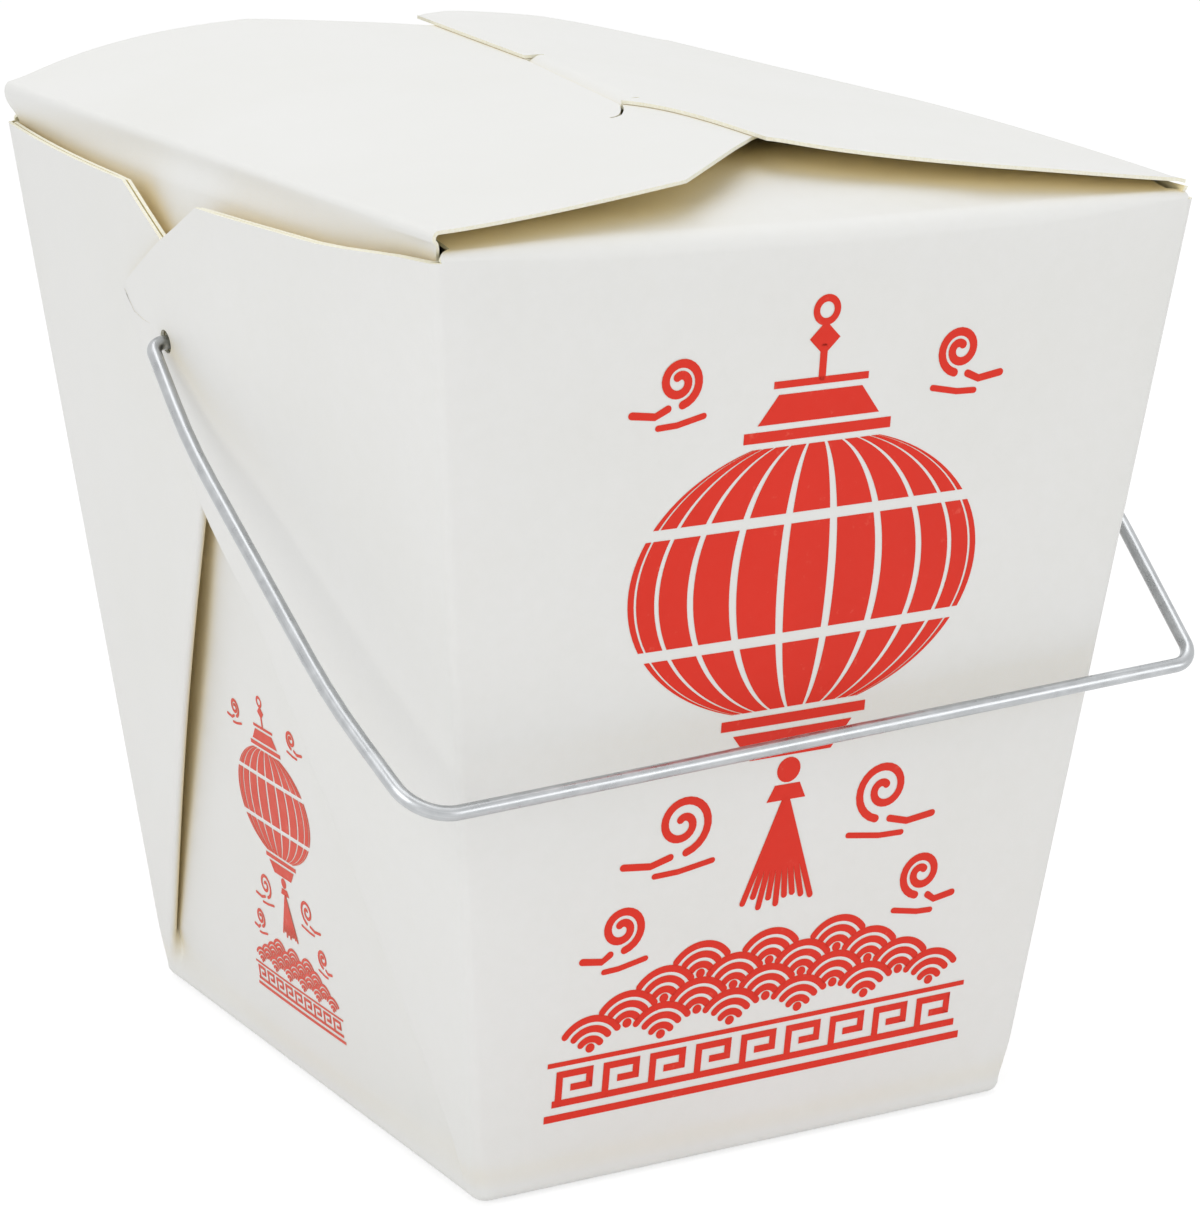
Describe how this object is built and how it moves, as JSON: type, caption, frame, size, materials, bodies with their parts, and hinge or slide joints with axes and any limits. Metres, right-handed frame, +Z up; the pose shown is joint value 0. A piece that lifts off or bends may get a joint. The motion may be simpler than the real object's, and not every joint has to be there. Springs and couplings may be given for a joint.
{
  "type": "folding food pail",
  "caption": "Folding paperboard food pail with gusseted corners, a tab-lock lid and a wire bail.",
  "frame": {"origin": "centre of the base's underside", "axes": "+Z up, end walls face -Y and +Y, gusseted walls and the wire's holes face -X and +X"},
  "size_m": [0.1096, 0.1134, 0.1187],
  "materials": {
    "white_board": "smooth bleached paperboard, cream inside",
    "zinc_wire": "galvanised wire"
  },
  "bodies": {
    "carton": {"carton": "white_board"},
    "tab_flap": {"tab_flap": "white_board"},
    "bail": {"bail": "zinc_wire"}
  },
  "joints": [
    {"name": "tab_flap_hinge", "type": "hinge", "parent": "carton", "child": "tab_flap", "pos_m": [0.04673, 0, 0.1107], "axis": [0, 1, 0], "range_deg": [0, 195]},
    {"name": "bail_swing", "type": "hinge", "parent": "carton", "child": "bail", "pos_m": [0, 0, 0.0905], "axis": [-1, 0, 0], "range_deg": [-3, 253]}
  ]
}
